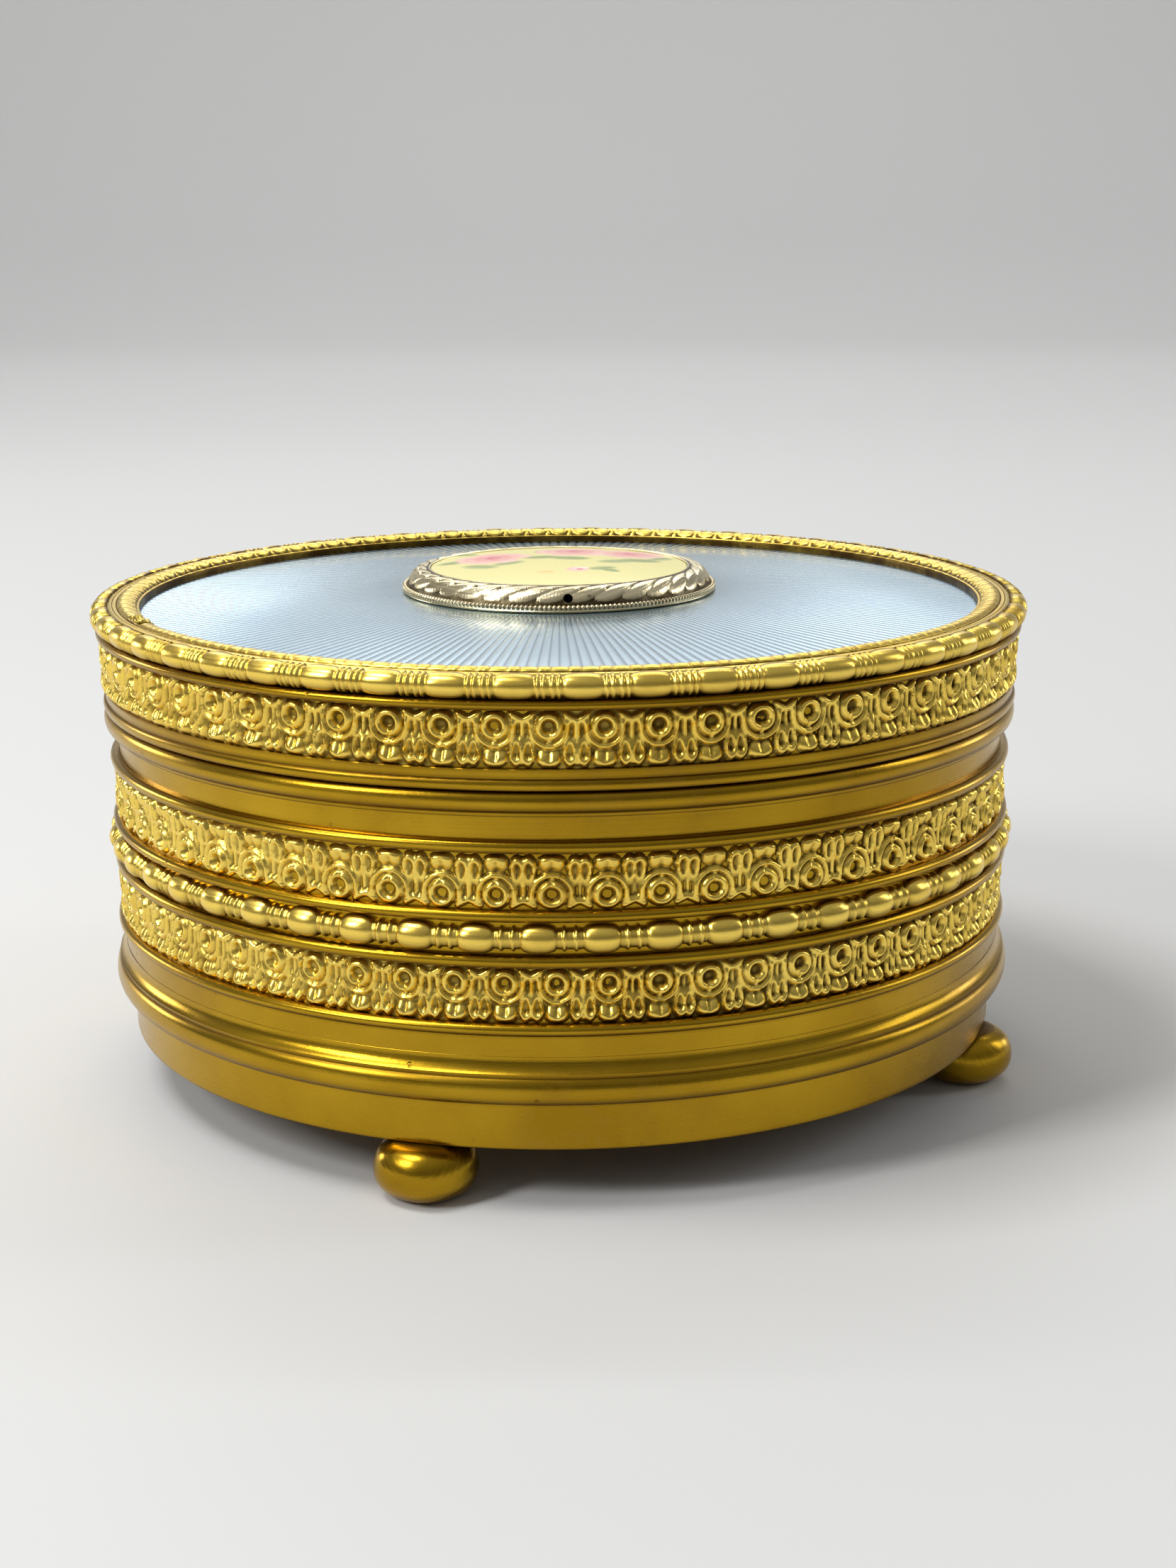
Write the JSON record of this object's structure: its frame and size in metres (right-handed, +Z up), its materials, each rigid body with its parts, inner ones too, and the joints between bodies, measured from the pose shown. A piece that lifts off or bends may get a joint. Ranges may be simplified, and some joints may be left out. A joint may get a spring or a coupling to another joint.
{
  "type": "trinket box",
  "caption": "Round gilt trinket box on bun feet, with relief friezes, a lined well and a hinged lid of blue guilloche enamel with a painted medallion.",
  "frame": {"origin": "on the surface it stands on, on the axis of the round box", "axes": "+Z up along the box's axis, front at -Y, hinge at +Y with its pin along X"},
  "size_m": [0.1, 0.1, 0.0547],
  "materials": {
    "gilt_brass": "satin polished, dark in the recesses",
    "pale_gilt": "satin, pale",
    "blue_enamel": "glossy translucent enamel over engine turning",
    "painted_enamel": "glossy painted enamel",
    "velvet": "short pile",
    "card": "matt",
    "steel": "satin"
  },
  "bodies": {
    "box": {"base_moulding": "gilt_brass", "base_plate": "gilt_brass", "body_shell": "gilt_brass", "lower_fillet": "gilt_brass", "lower_frieze": "gilt_brass", "belt_fillet_lower": "gilt_brass", "bead_and_reel_belt": "gilt_brass", "belt_fillet_upper": "gilt_brass", "upper_frieze": "gilt_brass", "neck_fillet": "gilt_brass", "rim_moulding": "gilt_brass", "inner_collar": "gilt_brass", "wall_lining": "velvet", "floor_pad": "velvet", "foot_1": "gilt_brass", "foot_2": "gilt_brass", "foot_3": "gilt_brass", "foot_4": "gilt_brass", "foot_screws": "steel", "hinge_body_leaf": "gilt_brass", "hinge_pin": "gilt_brass"},
    "lid": {"hinge_lid_leaf": "gilt_brass", "lid_shell": "gilt_brass", "lid_frieze": "gilt_brass", "lid_fillet": "gilt_brass", "lid_rim_beads": "gilt_brass", "leaf_border_ring": "gilt_brass", "enamel_plate": "blue_enamel", "lid_back_plate": "gilt_brass", "packing_disc": "card", "lid_lining": "velvet", "medallion_base": "pale_gilt", "medallion_bezel": "pale_gilt", "medallion_plaque": "painted_enamel", "medallion_washer": "steel", "medallion_nut": "steel"}
  },
  "joints": [
    {"name": "lid_hinge", "type": "hinge", "parent": "box", "child": "lid", "pos_m": [0, 0.0486, 0.04076], "axis": [-1, 0, 0], "range_deg": [0, 100]}
  ]
}
